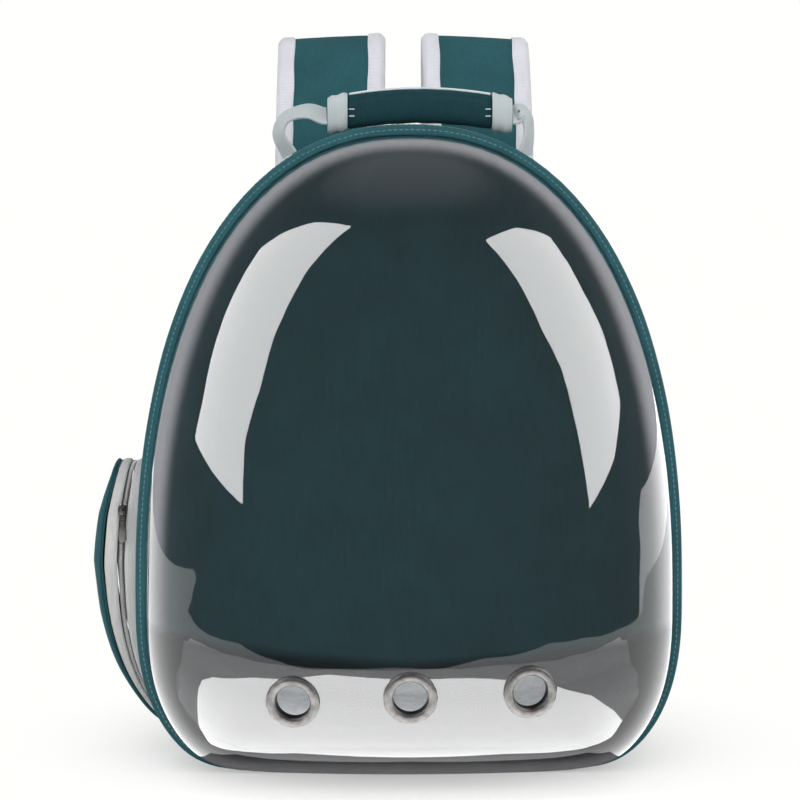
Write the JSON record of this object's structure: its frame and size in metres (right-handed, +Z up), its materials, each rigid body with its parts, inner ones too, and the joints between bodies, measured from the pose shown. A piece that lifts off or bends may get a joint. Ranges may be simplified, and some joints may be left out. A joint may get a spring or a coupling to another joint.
{
  "type": "bubble pet carrier backpack",
  "caption": "Egg-shaped cloth backpack with a clear smoky bubble front, vent eyelets, side pocket, top handle and two padded shoulder straps.",
  "frame": {"origin": "middle of the flat underside, on the surface that the bag stands on", "axes": "+Z up, -Y towards the front with the dome, +X to the right as seen from the front"},
  "size_m": [0.3826, 0.3655, 0.4783],
  "materials": {
    "green_fabric": "dark teal green woven cloth over foam",
    "grey_binding": "light grey woven binding",
    "grey_webbing": "light grey webbing",
    "pad_fabric": "light grey plush",
    "mesh_fabric": "dark spacer mesh",
    "zip_tape": "dark green zip tape with its coil",
    "zip_coil": "grey zip coil",
    "smoky_clear": "clear smoky plastic, polished",
    "pewter_metal": "pewter grey plated metal",
    "buckle_plastic": "dark moulded plastic"
  },
  "bodies": {
    "root": {"shell": "green_fabric", "front_frame": "green_fabric", "dome": "smoky_clear", "vent_eyelet_left": "pewter_metal", "vent_eyelet_centre": "pewter_metal", "vent_eyelet_right": "pewter_metal", "main_zip": "zip_tape", "floor_pad": "pad_fabric", "back_pad": "mesh_fabric", "strap_yoke": "green_fabric", "handle_grip": "green_fabric", "zip_slider_left": "pewter_metal", "handle_band_left": "grey_binding", "handle_webbing_left": "grey_webbing", "shoulder_strap_left": "green_fabric", "strap_binding_left_outer": "grey_binding", "strap_binding_left_inner": "grey_binding", "strap_buckle_left": "buckle_plastic", "strap_webbing_left": "grey_webbing", "webbing_tab_left": "green_fabric", "zip_slider_right": "pewter_metal", "handle_band_right": "grey_binding", "handle_webbing_right": "grey_webbing", "shoulder_strap_right": "green_fabric", "strap_binding_right_outer": "grey_binding", "strap_binding_right_inner": "grey_binding", "strap_buckle_right": "buckle_plastic", "strap_webbing_right": "grey_webbing", "webbing_tab_right": "green_fabric", "pocket_gusset_inner": "grey_binding", "pocket_zip": "zip_coil", "pocket_gusset_outer": "grey_binding", "pocket_face": "green_fabric", "pocket_slider": "pewter_metal"}
  },
  "joints": []
}
